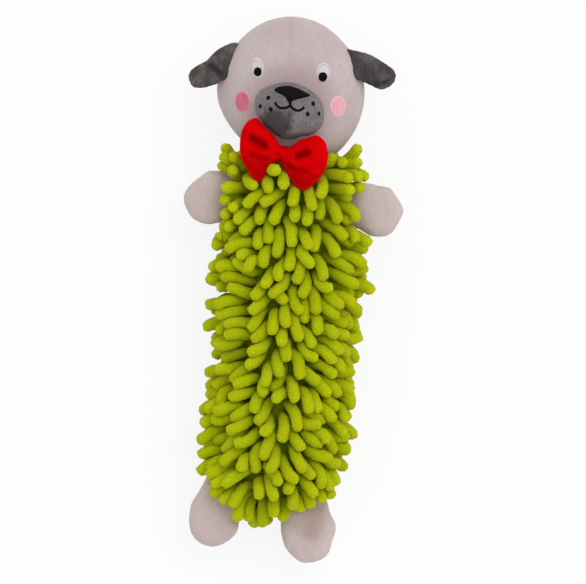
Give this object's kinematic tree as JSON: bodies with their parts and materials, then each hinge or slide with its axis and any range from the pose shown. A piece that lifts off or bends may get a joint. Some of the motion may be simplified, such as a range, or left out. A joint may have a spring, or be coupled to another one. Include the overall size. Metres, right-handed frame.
{
  "type": "squeaky dog toy",
  "caption": "Plush dog-shaped squeaky toy with a chenille noodle body, stuffed head, flap ears, stub arms and feet, neck bow and an inner squeaker.",
  "frame": {"origin": "middle of the toy's box in plan, on the surface it lies on", "axes": "+Y towards the top of the head, +Z out of the face, +X to the viewer's right of the face"},
  "size_m": [0.1366, 0.3394, 0.0808],
  "materials": {
    "pale_plush": "short matt plush pile",
    "dark_plush": "short matt plush pile",
    "muzzle_plush": "short matt plush pile",
    "black_thread": "satin stitch",
    "white_thread": "satin stitch",
    "pink_thread": "satin stitch",
    "red_felt": "soft matt felt",
    "green_chenille": "dense matt chenille pile",
    "filling": "loose polyester fibre",
    "squeaker_plastic": "blow-moulded polyethylene"
  },
  "bodies": {
    "torso": {"noodle_cover_front": "green_chenille", "noodle_cover_back": "green_chenille", "body_filling_front": "filling", "body_filling_back": "filling", "squeaker_base": "squeaker_plastic", "squeaker_bellows": "squeaker_plastic", "squeaker_valve": "squeaker_plastic", "squeaker_reed": "squeaker_plastic"},
    "squeaker_top": {"squeaker_top": "squeaker_plastic"},
    "neck": {"neck_filling": "filling"},
    "head": {"head_front_cover": "pale_plush", "head_back_cover": "pale_plush", "head_filling": "filling", "muzzle_cover": "muzzle_plush", "muzzle_filling": "filling", "nose": "black_thread", "mouth": "black_thread", "whisker_dot_left_1": "black_thread", "whisker_dot_left_2": "black_thread", "whisker_dot_left_3": "black_thread", "eye_white_left": "white_thread", "pupil_left": "black_thread", "cheek_patch_left": "pink_thread", "whisker_dot_right_1": "black_thread", "whisker_dot_right_2": "black_thread", "whisker_dot_right_3": "black_thread", "eye_white_right": "white_thread", "pupil_right": "black_thread", "cheek_patch_right": "pink_thread", "bow_knot": "red_felt", "bow_left_wing": "red_felt", "bow_right_wing": "red_felt"},
    "ear_left": {"ear_left_front_panel": "dark_plush", "ear_left_back_panel": "dark_plush"},
    "ear_right": {"ear_right_front_panel": "dark_plush", "ear_right_back_panel": "dark_plush"},
    "arm_left": {"arm_left_front_cover": "pale_plush", "arm_left_back_cover": "pale_plush", "arm_left_filling": "filling"},
    "arm_right": {"arm_right_front_cover": "pale_plush", "arm_right_back_cover": "pale_plush", "arm_right_filling": "filling"},
    "foot_left": {"foot_left_front_cover": "pale_plush", "foot_left_back_cover": "pale_plush", "foot_left_filling": "filling"},
    "foot_right": {"foot_right_front_cover": "pale_plush", "foot_right_back_cover": "pale_plush", "foot_right_filling": "filling"}
  },
  "joints": [
    {"name": "neck_nod", "type": "hinge", "parent": "torso", "child": "neck", "pos_m": [-0.0015, 0.08135, 0.032], "axis": [1, 0, 0], "range_deg": [0, 10], "stiffness_Nm_per_rad": 0.5},
    {"name": "head_tilt", "type": "hinge", "parent": "neck", "child": "head", "pos_m": [-0.0015, 0.08135, 0.032], "axis": [0, 0, 1], "range_deg": [-15, 15], "stiffness_Nm_per_rad": 0.3},
    {"name": "ear_left_flap", "type": "hinge", "parent": "head", "child": "ear_left", "pos_m": [-0.03631, 0.14325, 0.046], "axis": [0.2689, 0.923, -0.2752], "range_deg": [-20, 60], "stiffness_Nm_per_rad": 0.01},
    {"name": "ear_right_flap", "type": "hinge", "parent": "head", "child": "ear_right", "pos_m": [0.03959, 0.13928, 0.046], "axis": [-0.1709, 0.9461, -0.2752], "range_deg": [-60, 20], "stiffness_Nm_per_rad": 0.01},
    {"name": "arm_left_swing", "type": "hinge", "parent": "torso", "child": "arm_left", "pos_m": [-0.03236, 0.05735, 0.03], "axis": [-0.0698, -0.9976, 0], "range_deg": [-25, 25], "stiffness_Nm_per_rad": 0.06},
    {"name": "arm_right_swing", "type": "hinge", "parent": "torso", "child": "arm_right", "pos_m": [0.03029, 0.05035, 0.03], "axis": [0.1219, 0.9925, 0], "range_deg": [-25, 25], "stiffness_Nm_per_rad": 0.06},
    {"name": "foot_left_swing", "type": "hinge", "parent": "torso", "child": "foot_left", "pos_m": [-0.03759, -0.11566, 0.029], "axis": [0.9613, -0.2756, 0], "range_deg": [-25, 25], "stiffness_Nm_per_rad": 0.1},
    {"name": "foot_right_swing", "type": "hinge", "parent": "torso", "child": "foot_right", "pos_m": [0.00771, -0.12365, 0.029], "axis": [0.9903, 0.1392, 0], "range_deg": [-25, 25], "stiffness_Nm_per_rad": 0.1},
    {"name": "squeaker_press", "type": "slide", "parent": "torso", "child": "squeaker_top", "axis": [0, 0, -1], "range_m": [0, 0.006], "stiffness_N_per_m": 1000, "deforming": ["squeaker_bellows"]}
  ]
}
